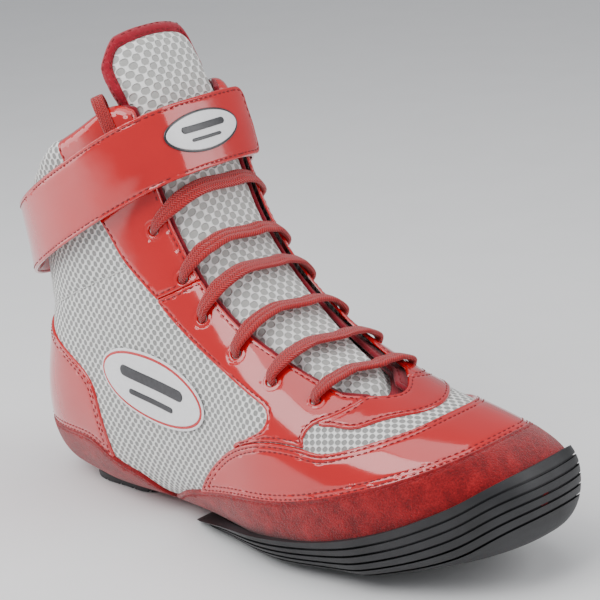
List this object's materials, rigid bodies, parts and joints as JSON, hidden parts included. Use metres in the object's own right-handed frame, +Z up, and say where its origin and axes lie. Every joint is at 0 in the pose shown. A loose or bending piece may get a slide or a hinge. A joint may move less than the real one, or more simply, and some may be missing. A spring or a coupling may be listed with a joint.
{
  "type": "high-top boxing boot",
  "caption": "Right-foot high-top boxing boot with mesh sides, glossy overlays, flat-laced throat, padded tongue, wrap-round ankle strap and ribbed rubber sole",
  "frame": {"origin": "centre of the bounding box in plan, on the ground under the sole", "axes": "+X from heel to toe, +Y towards the wearer's inner side of the foot, +Z up"},
  "size_m": [0.3, 0.1024, 0.224],
  "materials": {
    "rubber_black": "matt moulded rubber",
    "suede_red": "short nap suede",
    "fibre_board": "pressed fibre board",
    "sock_grey": "woven sock cloth",
    "mesh_white": "open knitted spacer mesh",
    "patent_red": "glossy patent coating",
    "facing_red": "dark red woven facing",
    "stiffener": "moulded stiffener sheet",
    "foam_pale": "soft foam",
    "lining_red": "brushed lining cloth",
    "tongue_mesh": "open knitted spacer mesh",
    "binding_crimson": "folded crimson binding",
    "tape_black": "hook and loop tape",
    "badge_white": "raised soft plastic badge",
    "lace_red": "flat woven lace"
  },
  "bodies": {
    "boot": {"outsole_forefoot": "rubber_black", "outsole_heel_pad": "rubber_black", "suede_heel_cup": "suede_red", "suede_toe_cup": "suede_red", "insole_board": "fibre_board", "insole": "sock_grey", "lasting_sock": "sock_grey", "vamp_mesh": "mesh_white", "quarter_mesh_lateral": "mesh_white", "quarter_mesh_medial": "mesh_white", "heel_counter_patent": "patent_red", "toe_overlay": "patent_red", "eyestay_lower_lateral": "patent_red", "eyestay_lower_medial": "patent_red", "eyestay_upper_lateral": "patent_red", "eyestay_upper_medial": "patent_red", "throat_piece": "patent_red", "facing_lateral": "facing_red", "facing_medial": "facing_red", "counter_stiffener": "stiffener", "toe_puff": "stiffener", "vamp_backing": "foam_pale", "quarter_foam_lateral": "foam_pale", "quarter_foam_medial": "foam_pale", "lining": "lining_red", "collar_padding": "foam_pale", "collar_lining": "lining_red", "tongue": "tongue_mesh", "strap_back": "patent_red", "strap_tab": "patent_red", "loop_tape": "tape_black", "side_badge": "badge_white", "lace": "lace_red"},
    "strap_side": {"strap_side": "patent_red"},
    "strap_front": {"strap_front": "patent_red", "hook_tape": "tape_black", "strap_badge": "badge_white"},
    "tongue_top": {"tongue_top": "tongue_mesh", "tongue_binding": "binding_crimson"}
  },
  "joints": [
    {"name": "strap_swing", "type": "hinge", "parent": "boot", "child": "strap_side", "pos_m": [-0.12006, -0.0379, 0.13], "axis": [0.4848, 0, -0.8746], "range_deg": [0, 40]},
    {"name": "strap_peel", "type": "hinge", "parent": "strap_side", "child": "strap_front", "pos_m": [-0.05646, -0.0433, 0.1645], "axis": [0.4848, 0, -0.8746], "range_deg": [0, 100]},
    {"name": "tongue_fold", "type": "hinge", "parent": "boot", "child": "tongue_top", "pos_m": [-0.04496, 0.0008, 0.1966], "axis": [0, 1, 0], "range_deg": [-2, 35], "stiffness_Nm_per_rad": 0.02}
  ],
  "couplings": [
    {"joint": "strap_swing", "follows": "strap_peel", "ratio": 0.4}
  ]
}
